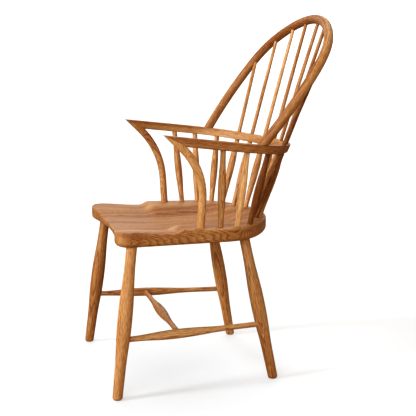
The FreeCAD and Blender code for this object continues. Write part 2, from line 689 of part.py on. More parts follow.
def make_back_bow():
    """The bent round bar, with a foot tenon at each end, sawn to sit on the arm bow."""
    body = add("PartDesign::Body", "back_bow_bar")
    start = bow_side_point(-mm("bow_foot_spare"))
    side_end = BOW_SIDE + (BOW_SHOULDER - BOW_SIDE).normalize() * mm("bow_side_radius")
    crest_end = BOW_CREST + (BOW_SHOULDER - BOW_CREST).normalize() * mm("bow_crest_radius")
    points = [start, side_end, crest_end, flip(crest_end), flip(side_end), flip(start)]
    centres = [BOW_SIDE, BOW_SHOULDER, BOW_CREST, flip(BOW_SHOULDER), flip(BOW_SIDE)]
    radii = ["side", "shoulder", "crest", "shoulder", "side"]
    path = new_sketch(body, "back_bow_line", "XY_Plane")
    for index, centre in enumerate(centres):
        path.addGeometry(arc_between(points[index], points[index + 1], centre))
        if index:
            join(path, index - 1, index, points[index])
        dimension(path, "Radius", (index,), "Sizes.bow_%s_radius" % radii[index])
    for index, point in enumerate(points):
        edge = min(index, len(centres) - 1)
        end = nearest_end(path, edge, point)
        across = span("back_bow_x%d" % index, point.x)
        upward = span("back_bow_y%d" % index, point.y)
        dimension(path, "DistanceX", (-1, 1, edge, end), across)
        dimension(path, "DistanceY", (-1, 1, edge, end), upward)
    onward = Vector(BOW_SIDE.y - start.y, start.x - BOW_SIDE.x, 0)
    profile = new_sketch(body, "back_bow_section", "XY_Plane", lay(start, start + onward))
    profile.addGeometry(Part.Circle(ORIGIN, UP, mm("bow_diameter") / 2))
    profile.addConstraint(Sketcher.Constraint("Coincident", 0, 3, -1, 1))
    dimension(profile, "Diameter", (0,), "Sizes.bow_diameter")
    doc.recompute()
    pipe = body.newObject("PartDesign::AdditivePipe", "back_bow_bend")
    pipe.Profile = profile
    pipe.Spine = (path, ["Edge%d" % (index + 1) for index in range(len(centres))])
    path.Visibility = False
    profile.Visibility = False
    body.Placement = Placement(bow_base, bow_turn)
    half_length = mm("bow_half_width") + mm("overrun")
    corner = arm_base + arm_turn.multVec(Vector(-half_length, 0, -mm("overrun")))
    saw = block("back_bow_saw", corner, arm_turn, "2 * (Sizes.bow_half_width + Sizes.overrun)",
                "Spans.arm_back_reach", "Sizes.overrun")
    sawn = cut("back_bow_sawn", body, [saw])
    whole = [sawn]
    for name, side in SIDES:
        top, bottom = bow_tenon_ends(side, mm("bow_tenon_length"))
        tenon = add("Part::Cylinder", "back_bow_%s_tenon" % name)
        tenon.setExpression("Radius", "Sizes.bow_tenon_diameter / 2")
        tenon.Height = (top - bottom).Length
        tenon.Placement = lay(bottom, top)
        whole.append(tenon)
    fused = add("Part::MultiFuse", "back_bow_whole")
    fused.Shapes = whole
    return fused


def bow_tenon_ends(side, depth):
    """Top (inside the bow) and bottom (inside the arm bow) of a foot tenon."""
    foot = bow_side_point(0)
    below = bow_side_point(-mm("bow_tenon_length"))
    onward = (below - foot).normalize()
    top = foot - onward * mm("bow_tenon_length")
    bottom = foot + onward * depth
    if side < 0:
        top, bottom = flip(top), flip(bottom)
    return in_bow(top), in_bow(bottom)


def seat_outline(sketch):
    """A gently hollow front between two round corners, slightly flared sides and a round back."""
    shoulder_radius = mm("seat_shoulder_radius")
    corner_radius = mm("seat_corner_radius")
    front_radius = mm("seat_front_radius")
    back_radius = end_arc_radius(mm("seat_back_reach"), shoulder_radius, mm("seat_width") / 2)
    span("seat_back_radius", back_radius, "round back of the seat in plan")
    widest = Vector(mm("seat_width") / 2, SEAT_WIDE, 0)
    shoulder = widest - ACROSS * shoulder_radius
    back = Vector(0, SEAT_REAR - back_radius, 0)
    shoulder_end = back + (shoulder - back).normalize() * back_radius
    front = Vector(0, SEAT_FRONT - front_radius, 0)
    flare_end = Vector(mm("seat_front_width") / 2, SEAT_FRONT, 0)
    flare = (flare_end - widest).normalize()
    inward = Vector(flare.y, -flare.x, 0)
    inner = widest + inward * corner_radius
    ahead = flare.dot(inner - front)
    apart = (inner - front).Length ** 2 - (front_radius + corner_radius) ** 2
    corner = inner + flare * (-ahead - math.sqrt(ahead ** 2 - apart))
    corner_side = corner - inward * corner_radius
    corner_front = front + (corner - front).normalize() * front_radius
    outline(sketch, "seat_outline", [
        (widest, shoulder, "Sizes.seat_shoulder_radius"),
        (shoulder_end, back, "Spans.seat_back_radius"),
        (flip(shoulder_end), flip(shoulder), "Sizes.seat_shoulder_radius"),
        (flip(widest), None, None),
        (flip(corner_side), flip(corner), "Sizes.seat_corner_radius"),
        (flip(corner_front), front, "Sizes.seat_front_radius"),
        (corner_front, corner, "Sizes.seat_corner_radius"),
        (corner_side, None, None),
    ])


def smooth(way):
    """0 below 0, 1 above 1, and a smooth rise between."""
    way = min(max(way, 0), 1)
    return way * way * (3 - 2 * way)


def seat_height(x, y):
    """Height of the seat's top: a dish inside a deck that ramps down towards the front."""
    deck = mm("deck_height")
    ramp_end = mm("ramp_place") - mm("ramp_length")
    past_ramp = smooth((mm("ramp_place") - y) / mm("ramp_length"))
    to_front = smooth((ramp_end - y) / (ramp_end - SEAT_FRONT))
    deck_here = deck + mm("deck_rise") * smooth((SEAT_WIDE - y) / (SEAT_WIDE - mm("ramp_place")))
    side = deck - mm("ramp_drop") + (mm("ramp_drop") + mm("front_corner_rise")) * to_front
    edge = deck_here + (side - deck_here) * past_ramp
    floor = deck - mm("dish_depth") + (mm("dish_depth") - mm("front_lip_drop")) * to_front
    back = max(y - SEAT_WIDE, 0) / mm("seat_back_reach")
    outward = math.hypot(2 * x / mm("seat_width"), back)
    wall_end = WALL_SHARE + (1 - WALL_SHARE) * past_ramp
    return floor + (edge - floor) * smooth((outward - FLOOR_SHARE) / (wall_end - FLOOR_SHARE))


def make_dish():
    """Everything above the carved top of the seat, as one solid."""
    margin = mm("overrun") / 2
    half = mm("seat_front_width") / 2 + margin
    rows = []
    for row in range(DISH_STATIONS):
        y = SEAT_FRONT - margin
        y += (SEAT_REAR - SEAT_FRONT + 2 * margin) * row / (DISH_STATIONS - 1)
        points = []
        for column in range(DISH_STATIONS):
            x = half * (2 * column / (DISH_STATIONS - 1) - 1)
            points.append(Vector(x, y, seat_height(x, y)))
        rows.append(points)
    surface = Part.BSplineSurface()
    surface.interpolate(rows)
    dish = add("Part::Feature", "seat_dish")
    dish.Shape = surface.toShape().extrude(UP * mm("overrun"))
    return dish


def make_seat(sockets):
    """The glued-up seat, dished, its edges rounded and its sockets drilled."""
    body = add("PartDesign::Body", "seat_blank")
    sketch = new_sketch(body, "seat_blank_outline", "XY_Plane")
    seat_outline(sketch)
    pad = body.newObject("PartDesign::Pad", "seat_blank_pad")
    pad.Profile = sketch
    pad.setExpression("Length", "Sizes.seat_thickness + Sizes.front_corner_rise + Sizes.seat_top_round")
    sketch.Visibility = False
    doc.recompute()
    fillet = body.newObject("PartDesign::Fillet", "seat_blank_under_round")
    low_edges = []
    for index, edge in enumerate(pad.Shape.Edges, start=1):
        if edge.BoundBox.ZMax < mm("glue_gap"):
            low_edges.append("Edge%d" % index)
    fillet.Base = (pad, low_edges)
    fillet.setExpression("Radius", "Sizes.seat_under_round")
    body.Placement = Placement(UP * (mm("deck_height") - mm("seat_thickness")), Rotation())
    dished = cut("seat_dished", body, [make_dish()])
    lowest = mm("deck_height") - mm("dish_depth") - mm("socket_relief")
    soft = rounded("seat_soft", dished, mm("seat_top_round"),
                   lambda edge: edge.BoundBox.ZMin > lowest)
    return cut("seat_drilled", soft, sockets)


def make_boards(seat):
    """The four boards that the seat is glued up from."""
    width = mm("seat_board_width")
    outer = mm("seat_front_width")
    starts = (
        ("right_outer", -outer, "Sizes.seat_front_width - Sizes.seat_board_width"),
        ("right_middle", -width, "Sizes.seat_board_width"),
        ("left_middle", 0, "Sizes.seat_board_width"),
        ("left_outer", width, "Sizes.seat_front_width - Sizes.seat_board_width"),
    )
    for name, start, across in starts:
        corner = Vector(start, SEAT_FRONT - mm("overrun"), 0)
        strip = block(name + "_strip", corner, Rotation(), across,
                      "Sizes.seat_front_reach + Sizes.seat_back_reach + 2 * Sizes.overrun",
                      "Sizes.deck_height + Sizes.overrun")
        board = add("Part::Common", name + "_seat_board")
        board.Base = seat
        board.Tool = strip
        pieces.append(board)


pieces = []
seat_sockets = []
arm_cuts = []
bow_sockets = []
underside = UP * (mm("deck_height") - mm("seat_thickness"))

# Legs, stretchers and their sockets
leg_axes = {}
leg_solids = {}
for end_name, foot_out, foot_y, hip_out, hip_y in (
        ("front", "front_foot_out", "front_foot_place", "front_hip_out", "front_hip_place"),
        ("rear", "rear_foot_out", "rear_foot_place", "rear_hip_out", "rear_hip_place")):
    for side_name, side in SIDES:
        leg_name = "%s_%s_leg" % (end_name, side_name)
        foot = Vector(side * mm(foot_out), mm(foot_y), 0)
        hip = Vector(side * mm(hip_out), mm(hip_y), underside.z)
        leg_axes[leg_name] = (foot, hip)
        leg_solids[leg_name] = make_leg(leg_name, foot, hip)
        onward = (hip - foot).normalize()
        bottom = hip + onward * (mm("leg_tenon_length") + mm("socket_relief"))
        seat_sockets.append(drill(leg_name + "_socket", hip, bottom, "Sizes.leg_top_diameter"))

level_share = mm("stretcher_height") / underside.z
crossings = {}
for side_name, side in SIDES:
    ends = [along(*leg_axes["%s_%s_leg" % (end_name, side_name)], level_share)
            for end_name in ("front", "rear")]
    onward = (ends[1] - ends[0]).normalize()
    start = ends[0] + onward * mm("stretcher_stop")
    end = ends[1] - onward * mm("stretcher_stop")
    stretcher = make_stretcher(side_name + "_side_stretcher_turned", start, end,
                               "Sizes.stretcher_end_diameter", "Sizes.stretcher_swell_diameter",
                               SIDE_SHARES)
    for end_name, tip, inward in (("front", start, onward), ("rear", end, -onward)):
        leg_name = "%s_%s_leg" % (end_name, side_name)
        mouth = tip + inward * mm("leg_swell_diameter") / 2
        bottom = tip - inward * mm("socket_relief")
        socket = drill(leg_name + "_stretcher_socket", mouth, bottom,
                       "Sizes.stretcher_end_diameter")
        pieces.append(cut(leg_name, leg_solids[leg_name], [socket]))
    crossings[side] = along(ends[0], ends[1], CROSS_PLACE_SHARE)
    inside = crossings[side] - ACROSS * side * mm("stretcher_swell_diameter")
    bottom = crossings[side] - ACROSS * side * (mm("cross_stop") - mm("socket_relief"))
    socket = drill(side_name + "_cross_socket", inside, bottom, "Sizes.cross_end_diameter")
    pieces.append(cut(side_name + "_side_stretcher", stretcher, [socket]))
pieces.append(make_stretcher("cross_stretcher",
                             crossings[-1] + ACROSS * mm("cross_stop"),
                             crossings[1] - ACROSS * mm("cross_stop"),
                             "Sizes.cross_end_diameter", "Sizes.cross_swell_diameter",
                             CROSS_SHARES))

# Long spindles, numbered from the sitter's right: each is aimed from the back bow through its
# place in the arm bow down to the seat
half_count = len(LONG_SPINDLE_SHARES)
for side_name, side in SIDES:
    for place, (arm_share, beyond_share, bow_share) in enumerate(LONG_SPINDLE_SHARES, start=1):
        number = half_count + 1 - place if side < 0 else half_count + place
        label = "long_spindle_%d" % number
        top = in_bow(bow_top_point(bow_share * mm("bow_half_width")))
        crossing = arm_crossing(arm_share * mm("arm_half_span"), beyond_share * mm("arm_width"))
        base = along(top, crossing, (top.z - mm("deck_height")) / (top.z - crossing.z))
        if side < 0:
            base, top = flip(base), flip(top)
        onward = (top - base).normalize()
        under = height_on(base, onward, arm_under)
        over = height_on(base, onward, arm_base)
        taper_start = under - mm("spindle_clearance")
        taper_end = over + mm("spindle_clearance")
        length = span(label + "_length", (top - base).Length)
        under_span = span(label + "_taper_start", taper_start)
        over_span = span(label + "_taper_end", taper_end)
        stations = (
            ("-Sizes.spindle_tenon_length", "Sizes.spindle_base_diameter", "line"),
            ("0", "Sizes.spindle_base_diameter", "line"),
            ("%s * %g" % (under_span, LONG_SWELL_SHARE), "Sizes.spindle_swell_diameter", "curve"),
            (under_span, "Sizes.spindle_under_diameter", "curve"),
            (over_span, "Sizes.spindle_over_diameter", "line"),
            (length, "Sizes.spindle_top_diameter", "line"),
        )
        pieces.append(turned(label, stations, base, top))
        bottom = base - onward * (mm("spindle_tenon_length") + mm("socket_relief"))
        seat_sockets.append(drill(label + "_socket", base, bottom, "Sizes.spindle_base_diameter"))
        reamer = add("Part::Cone", label + "_reamer")
        reamer.setExpression("Radius1", "Sizes.spindle_under_diameter / 2 + Sizes.glue_gap")
        reamer.setExpression("Radius2", "Sizes.spindle_over_diameter / 2 + Sizes.glue_gap")
        reamer.setExpression("Height", "%s - %s" % (over_span, under_span))
        reamer.Placement = lay(base + onward * taper_start, top)
        arm_cuts.append(reamer)
        mouth = top - onward * mm("bow_diameter")
        bottom = top + onward * mm("socket_relief")
        bow_sockets.append(drill(label + "_bow_socket", mouth, bottom,
                                 "Sizes.spindle_top_diameter"))

# Short spindles under the arms
for side_name, side in SIDES:
    for place_name, out_share, back_share, arm_share in SHORT_SPINDLE_SHARES:
        label = "%s_%s_short_spindle" % (side_name, place_name)
        base = Vector(side * out_share * mm("seat_width") / 2,
                      SEAT_WIDE + back_share * mm("seat_back_reach"), mm("deck_height"))
        forward = ARM_WIDE + arm_share * mm("arm_tip_reach")
        depth = mm("arm_thickness") - mm("short_tenon_length")
        top = in_arm(side * arm_out(forward), forward, depth)
        onward = (top - base).normalize()
        under = height_on(base, onward, arm_under)
        length = span(label + "_length", (top - base).Length)
        under_span = span(label + "_free", under)
        stations = (
            ("-Sizes.short_tenon_length", "Sizes.short_base_diameter", "line"),
            ("0", "Sizes.short_base_diameter", "line"),
            ("%s * %g" % (under_span, SHORT_SWELL_SHARE), "Sizes.short_swell_diameter", "curve"),
            (under_span + " - Sizes.spindle_clearance", "Sizes.short_top_diameter", "curve"),
            (length, "Sizes.short_top_diameter", "line"),
        )
        pieces.append(turned(label, stations, base, top))
        bottom = base - onward * (mm("short_tenon_length") + mm("socket_relief"))
        seat_sockets.append(drill(label + "_socket", base, bottom, "Sizes.short_base_diameter"))
        bottom = top + onward * mm("socket_relief")
        arm_cuts.append(drill(label + "_arm_socket", base + onward * under, bottom,
                              "Sizes.short_top_diameter"))

# Arm posts, arm bow and back bow
upper_saw = mitre_saw("mitre_upper_saw", True)
for side_name, side in SIDES:
    label = side_name + "_arm_post"
    line = PostLine(side)
    pieces.append(cut(label, make_post(label, side), [upper_saw]))
    seat_sockets.append(drill(label + "_socket", line.at(0),
                              line.at(-mm("post_tenon_length") - mm("socket_relief")),
                              "Sizes.post_base_diameter"))
    bow_foot = in_bow(flip(bow_side_point(0)) if side < 0 else bow_side_point(0))
    bottom = bow_tenon_ends(side, mm("bow_tenon_length") + mm("socket_relief"))[1]
    arm_cuts.append(drill("back_bow_%s_socket" % side_name, bow_foot, bottom,
                          "Sizes.bow_tenon_diameter"))
arm_cuts.append(mitre_saw("mitre_lower_saw", False))
pieces.append(cut("arm_bow", make_arm_bow(), arm_cuts))
pieces.append(cut("back_bow", make_back_bow(), bow_sockets))
make_boards(make_seat(seat_sockets))

doc.recompute()
for thing in doc.Objects:
    if "Invalid" in thing.State or "Error" in thing.State:
        raise RuntimeError("%s did not build" % thing.Label)
for piece in pieces:
    if piece.Shape.isNull() or not piece.Shape.isValid() or len(piece.Shape.Solids) != 1:
        raise RuntimeError("%s is not one sound solid" % piece.Label)
os.makedirs("parts", exist_ok=True)
for piece in pieces:
    piece.Shape.exportStep("parts/%s.step" % piece.Label)
    print("%s %.0f mm3" % (piece.Label, piece.Shape.Volume))
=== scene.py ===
# %% [markdown]
# # Windsor armchair in oiled oak
# The chair is wood only: a dished seat, turned legs and spindles, and two bent bows.  The packed
# model already has every shape, so this lesson is mostly about grain: each piece was cut from a
# tree along its own length, and the rings have to run that way.  The two bows were bent after
# they were cut, so their grain bends too, and they are made again here as bent bars.

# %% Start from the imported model
import math

import bpy
from mathutils import Euler, Matrix, Vector


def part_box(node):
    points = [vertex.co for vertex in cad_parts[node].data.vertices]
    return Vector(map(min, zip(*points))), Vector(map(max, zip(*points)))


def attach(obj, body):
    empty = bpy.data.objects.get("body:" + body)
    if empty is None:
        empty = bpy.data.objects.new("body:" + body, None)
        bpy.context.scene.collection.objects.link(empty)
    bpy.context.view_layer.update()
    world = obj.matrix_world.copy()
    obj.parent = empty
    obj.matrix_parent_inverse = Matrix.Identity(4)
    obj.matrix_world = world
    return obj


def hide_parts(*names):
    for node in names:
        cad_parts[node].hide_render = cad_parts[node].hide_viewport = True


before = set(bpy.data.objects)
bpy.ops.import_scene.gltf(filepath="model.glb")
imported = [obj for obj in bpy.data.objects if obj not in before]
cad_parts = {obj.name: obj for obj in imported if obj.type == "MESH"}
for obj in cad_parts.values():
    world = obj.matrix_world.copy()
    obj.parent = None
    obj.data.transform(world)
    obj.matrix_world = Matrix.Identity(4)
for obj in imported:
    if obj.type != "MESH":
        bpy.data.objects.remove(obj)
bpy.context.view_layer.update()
MM = 0.001
print("the packed chair has", len(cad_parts), "pieces")

# %% [markdown]
# ## Helpers
# Colours are easiest to read as the hex codes a painter would pick on a screen, but the renderer
# adds up light, so one function turns them to linear values.  Node trees become long when every
# link is written out, so one function adds a node, sets it and links it in one go.  Three more
# make a material, dress a piece in it, and put a mesh, curve, light or camera into the scene.

# %% Colours and nodes
def linear(hex_code):
    """A screen colour such as C08050 as linear red, green, blue and alpha."""
    channels = [int(hex_code[i:i + 2], 16) / 255 for i in (0, 2, 4)]
    return [c / 12.92 if c <= 0.04045 else ((c + 0.055) / 1.055) ** 2.4 for c in channels] + [1.0]


def shade(value):
    """A grey between 0, which is black, and 1, which is white."""
    return (value, value, value, 1.0)


def add_node(tree, kind, inputs=None, stops=(), **settings):
    """A new node; each named input gets a value, or a link from another node's output.

    A colour ramp also gets its stops, each with its place and its colour.
    """
    made = tree.nodes.new(kind)
    for name, value in settings.items():
        setattr(made, name, value)
    for name, value in (inputs or {}).items():
        if isinstance(value, bpy.types.NodeSocket):
            tree.links.new(value, made.inputs[name])
        else:
            made.inputs[name].default_value = value
    if stops:
        while len(made.color_ramp.elements) < len(stops):
            made.color_ramp.elements.new(0.5)
        for element, (place, colour) in zip(made.color_ramp.elements, stops):
            element.position = place
            element.color = colour
    return made


print("light honey oak is", [round(c, 3) for c in linear("D8A36B")])

# %% Materials and objects
def new_material(name):
    """A material with the nodes that Blender gives to a new one."""
    material = bpy.data.materials.new(name)
    material.use_nodes = True
    return material


def dress(piece, material):
    """The whole piece wears one material."""
    piece.data.materials.clear()
    piece.data.materials.append(material)


def put_in_scene(name, data):
    """An object for this mesh, curve, light or camera."""
    made = bpy.data.objects.new(name, data)
    bpy.context.scene.collection.objects.link(made)
    return made


print("materials so far:", len(bpy.data.materials))

# %% [markdown]
# ## Oiled oak
# Oak grows a ring each year: first large open pores, which look like a brown line of short
# dashes, then dense, paler wood.  A ring pattern in three dimensions, round the heart of the
# tree, gives the ovals on a swelling leg and the arches on the edge of the seat without any
# drawing, as long as the heart lies a few centimetres beside the piece, as it does in a plank.
# The finish is oil, rubbed in: a soft sheen, a little glossier where hands and clothes rub the
# edges.  Every piece has a material of its own, because each has its own heart line and tone; on a few
# pieces that tone also paints light or shade.

# %% Sizes and shades of the grain
RING_SPACING = 2.9 * MM      # one year of growth; real oak has 1.5 to 4 mm
RING_WANDER = 19 * MM        # how far the rings stray from a true circle
WANDER_REACH = 110 * MM      # across the grain, from one stray to the next
FIBRE_WIDTH = 1.5 * MM       # drawn coarser than the real 0.5 mm, which would not show
PORE_WIDTH = 0.9 * MM        # drawn coarser than the real 0.3 mm, which would not show
STREAK_WIDTH = 34 * MM       # broad changes of colour
WEAR_RADIUS = 2 * MM         # how far from an edge the rubbing shows
OAK_SHADES = ("623718", "965E2E", "BB8C5A", "DEBB92")    # from a pore to the palest wood
SHADE_PLACES = (0.0, 0.28, 0.58, 0.95)
RUBBED_SHADE = "E2B47C"
print("rings", RING_SPACING / MM, "mm apart, fibres", FIBRE_WIDTH / MM, "mm wide")

# %% Rings, fibres and pores, from coordinates that run along the grain
def stretched_noise(tree, grain, across, along, detail):
    """Noise whose spots are as wide as across and as long as along."""
    spots = add_node(tree, "ShaderNodeMapping", {
        "Vector": grain, "Scale": (1 / across, 1 / across, 1 / along)})
    return add_node(tree, "ShaderNodeTexNoise", {
        "Vector": spots.outputs["Vector"], "Scale": 1.0, "Detail": detail}).outputs["Fac"]


def early_wood_of(tree, grain, run):
    """1 where a year's growth starts with open pores, falling to 0 in its dense wood."""
    beside = add_node(tree, "ShaderNodeVectorMath", {0: grain, 1: (1, 1, 0)}, operation="MULTIPLY")
    radius = add_node(tree, "ShaderNodeVectorMath", {0: beside.outputs[0]}, operation="LENGTH")
    stray = stretched_noise(tree, grain, WANDER_REACH, run * WANDER_REACH, 2)
    growth = add_node(tree, "ShaderNodeMath", {
        0: stray, 1: RING_WANDER, 2: radius.outputs["Value"]}, operation="MULTIPLY_ADD")
    years = add_node(tree, "ShaderNodeMath", {0: growth.outputs[0], 1: RING_SPACING},
                     operation="DIVIDE")
    year = add_node(tree, "ShaderNodeMath", {0: years.outputs[0]}, operation="FRACT")
    return add_node(tree, "ShaderNodeValToRGB", {"Fac": year.outputs[0]}, stops=[
        (0.0, shade(0.5)), (0.12, shade(1)), (0.45, shade(0.25)), (0.9, shade(0)),
        (1.0, shade(0.5))]).outputs["Color"]


def open_pores_of(tree, grain, early_wood):
    """Short dashes along the grain, which are most open in the early wood."""
    specks = stretched_noise(tree, grain, PORE_WIDTH, 18 * PORE_WIDTH, 1)
    pores = add_node(tree, "ShaderNodeValToRGB", {"Fac": specks},
                     stops=[(0.5, shade(0)), (0.66, shade(1))])
    return add_node(tree, "ShaderNodeMath", {0: pores.outputs["Color"], 1: early_wood},
                    operation="MULTIPLY").outputs[0]


print("a dash of pores is about", round(18 * PORE_WIDTH / MM), "mm long")

# %% Colour: streaks set the ground, and the other patterns darken it
GROUND = 0.43
STREAK_STRENGTH = 0.85
RING_DARKNESS = 0.17
FIBRE_DARKNESS = 0.72
PORE_DARKNESS = 0.4


def oak_colour(tree, streaks, darker, tone):
    """Shades of oak by the level of the patterns; a tone above 1 makes all of them paler."""
    level = add_node(tree, "ShaderNodeMath", {0: streaks, 1: STREAK_STRENGTH, 2: GROUND},
                     operation="MULTIPLY_ADD")
    for pattern, darkness in darker:
        level = add_node(tree, "ShaderNodeMath", {0: pattern, 1: -darkness, 2: level.outputs[0]},
                         operation="MULTIPLY_ADD")
    colours = [[min(tone * c ** (1 / tone), 1) for c in linear(code)[:3]] + [1]
               for code in OAK_SHADES]
    return add_node(tree, "ShaderNodeValToRGB", {"Fac": level.outputs[0]},
                    stops=list(zip(SHADE_PLACES, colours))).outputs["Color"]


print("shades of oak:", len(OAK_SHADES))

# %% Finish: edges that are rubbed pale and smooth
WEAR = 0.12                  # share of the rubbed shade on a sharp edge


def rubbed_edges(tree):
    """0 on flat wood, rising to the full wear on a sharp edge."""
    rounded = add_node(tree, "ShaderNodeBevel", {"Radius": WEAR_RADIUS}, samples=4)
    true_side = add_node(tree, "ShaderNodeNewGeometry")
    agree = add_node(tree, "ShaderNodeVectorMath", {
        0: rounded.outputs["Normal"], 1: true_side.outputs["Normal"]}, operation="DOT_PRODUCT")
    return add_node(tree, "ShaderNodeMapRange", {
        "Value": agree.outputs["Value"], "From Min": 1.0, "From Max": 0.85, "To Min": 0.0,
        "To Max": WEAR}).outputs["Result"]


print("edges are rubbed", WEAR_RADIUS / MM, "mm wide")

# %% The wood itself
OAK_IOR = 1.47               # of the dried oil
OAK_SPECULAR = 0.3           # below the usual 0.5, because oiled pores scatter the gloss
ROUGHNESS = 0.5
PORE_ROUGHNESS = 0.12
WEAR_POLISH = 0.5            # how much smoother full wear would make the wood
PORE_DEPTH = 0.25 * MM
FIBRE_RELIEF = 0.5           # depth of the fibres, as a share of that of the pores
RELIEF_STRENGTH = 0.35


def grow_oak(material, grain, tone, run=4):
    """Colour, sheen and relief of oiled oak.

    A tone above 1 is paler.  The longer the run, the straighter the lines of the rings.
    """
    tree = material.node_tree
    early_wood = early_wood_of(tree, grain, run)
    open_pores = open_pores_of(tree, grain, early_wood)
    streaks = stretched_noise(tree, grain, STREAK_WIDTH, 12 * STREAK_WIDTH, 3)
    fibres = stretched_noise(tree, grain, FIBRE_WIDTH, 13 * FIBRE_WIDTH, 2)
    colour = oak_colour(tree, streaks, (
        (early_wood, RING_DARKNESS), (fibres, FIBRE_DARKNESS), (open_pores, PORE_DARKNESS)), tone)

    wear = rubbed_edges(tree)
    rubbed = add_node(tree, "ShaderNodeMix", {0: wear, 6: colour, 7: linear(RUBBED_SHADE)},
                      data_type="RGBA")
    sheen = add_node(tree, "ShaderNodeMath", {0: early_wood, 1: PORE_ROUGHNESS, 2: ROUGHNESS},
                     operation="MULTIPLY_ADD")
    handled = add_node(tree, "ShaderNodeMath", {0: wear, 1: -WEAR_POLISH, 2: sheen.outputs[0]},
                       operation="MULTIPLY_ADD")
    depth = add_node(tree, "ShaderNodeMath", {0: fibres, 1: FIBRE_RELIEF, 2: open_pores},
                     operation="MULTIPLY_ADD")
    relief = add_node(tree, "ShaderNodeBump", {
        "Height": depth.outputs[0], "Strength": RELIEF_STRENGTH, "Distance": PORE_DEPTH}, invert=True)

    surface = tree.nodes["Principled BSDF"]
    tree.links.new(rubbed.outputs[2], surface.inputs["Base Color"])
    tree.links.new(handled.outputs[0], surface.inputs["Roughness"])
    tree.links.new(relief.outputs["Normal"], surface.inputs["Normal"])
    surface.inputs["IOR"].default_value = OAK_IOR
    surface.inputs["Specular IOR Level"].default_value = OAK_SPECULAR


print("oiled oak: IOR", OAK_IOR, "and roughness", ROUGHNESS)

# %% [markdown]
# ## Turned pieces: legs, stretchers and spindles
# Each was turned on a lathe from a straight stick, so its grain runs from one end to the other.
# The coordinates of the chair are turned, with one Mapping node, until Z runs along the stick and
# the origin lies in the heart of the tree.  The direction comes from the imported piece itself: it
# runs from the middle of the points at one end to the middle of those at the other.

# %% Direction of a straight piece
def long_way(piece):
    """Middle of a straight piece, and the direction of its length."""
    points = [v.co for v in piece.data.vertices]
    middle = sum(points, Vector()) / len(points)
    tip = max(points, key=lambda p: (p - middle).length)
    reach = (tip - middle).normalized()
    along = [(p - middle).dot(reach) for p in points]
    last_tenth = 0.9 * max(along)
    first_tenth = 0.9 * min(along)
    last = [p for p, a in zip(points, along) if a > last_tenth]
    first = [p for p, a in zip(points, along) if a < first_tenth]
    way = sum(last, Vector()) / len(last) - sum(first, Vector()) / len(first)
    return middle, way.normalized()


leg_way = long_way(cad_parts["front_left_leg"])[1]
print("a front leg leans by", round(math.degrees(math.acos(abs(leg_way.z))), 1), "degrees")

# %% Coordinates along the grain
NEXT_PIECE = 1.09            # metres along the tree from one piece to the next, so that none repeat


def grain_along(material, middle, way, heart, heading, number):
    """Coordinates with Z along the grain and the origin in the heart, this far beside the piece."""
    turn = way.to_track_quat("Z", "X")
    beside = Vector((math.cos(heading), math.sin(heading), 0)) * heart
    beside.z = NEXT_PIECE * number
    tree = material.node_tree
    chair = add_node(tree, "ShaderNodeTexCoord")
    return add_node(tree, "ShaderNodeMapping", {
        "Vector": chair.outputs["Object"], "Location": middle + turn @ beside,
        "Rotation": turn.to_euler()}, vector_type="TEXTURE").outputs["Vector"]


print("pieces lie", NEXT_PIECE, "m apart in the tree")

# %% Oak for the turned pieces
HEART_BESIDE = 55 * MM       # the heart of the tree lies this far beside a stick
HEART_TURN = 2.4             # radians round the stick from one piece's heart to the next one's
USUAL_TONE = 1.07
# Most of these are the wood's own tones.  The rear right leg is paler, as painted light on a leg that
# the seat shades,
# and the left back short spindle and long spindle 8 are darker, as painted shade.
TONES_AND_PAINTED_LIGHT = {
    "front_left_leg": 1.12, "front_right_leg": 0.95, "rear_left_leg": 0.94, "rear_right_leg": 1.18,
    "left_side_stretcher": 1.07, "right_side_stretcher": 1.04, "cross_stretcher": 1.02,
    "left_front_short_spindle": 1.0, "left_middle_short_spindle": 1.38,
    "left_back_short_spindle": 0.72, "right_front_short_spindle": 1.05,
    "long_spindle_6": 0.92, "long_spindle_7": 0.88, "long_spindle_8": 0.78}

turned_names = sorted(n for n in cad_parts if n.endswith(("leg", "stretcher")) or "spindle" in n)
for number, name in enumerate(turned_names):
    middle, way = long_way(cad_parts[name])
    oak = new_material("turned_oiled_oak_" + name)
    grain = grain_along(oak, middle, way, HEART_BESIDE, HEART_TURN * number, number)
    grow_oak(oak, grain, TONES_AND_PAINTED_LIGHT.get(name, USUAL_TONE))
    dress(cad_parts[name], oak)
print("turned pieces:", len(turned_names))

# %% [markdown]
# ## Seat
# Four boards are glued edge to edge, with the grain from front to back, then the dish is carved
# through all of them.  Neighbouring boards come from different places in the tree, so their
# arches don't meet at the glue lines, and each has its own tone.  Three hearts lie well below the
# seat, so carving the dish cuts slowly through the rings and leaves long contour lines.  That of
# the left outer board runs at a slant close to the seat's edge, which draws a row of arches there.

# %% Oak for the seat boards
HEART_LEVEL = 440            # mm above the floor, from where the height of a heart is counted
BOARD_RUN = 2.4              # the rings stray sooner along these boards than along the sticks
SEAT_BOARDS = (              # heart across and up in mm, its slant, and the tone
    ("right_outer_seat_board", -330, -90, 0, 0.93),
    ("right_middle_seat_board", -160, -130, 0, 0.92),
    ("left_middle_seat_board", -70, -150, 0, 0.88),
    ("left_outer_seat_board", 201, -2, -0.13, 0.97),
)
for number, (name, heart_x, heart_z, slant, tone) in enumerate(SEAT_BOARDS):
    oak = new_material("carved_oiled_oak_" + name)
    middle = Vector((heart_x * MM, 0, (HEART_LEVEL + heart_z) * MM))
    grain = grain_along(oak, middle, Vector((slant, 1, 0)).normalized(), 0, 0, number)
    grow_oak(oak, grain, tone, run=BOARD_RUN)
    dress(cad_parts[name], oak)
print("seat boards:", len(SEAT_BOARDS))

# %% [markdown]
# ## Arm posts
# A post is bent forward in an arc of 215 mm.  Its grain follows the bend, so the pattern is
# straightened first: above the arc's start, the height tells how far forward the line of the
# post has come, and that is added back.  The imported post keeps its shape.

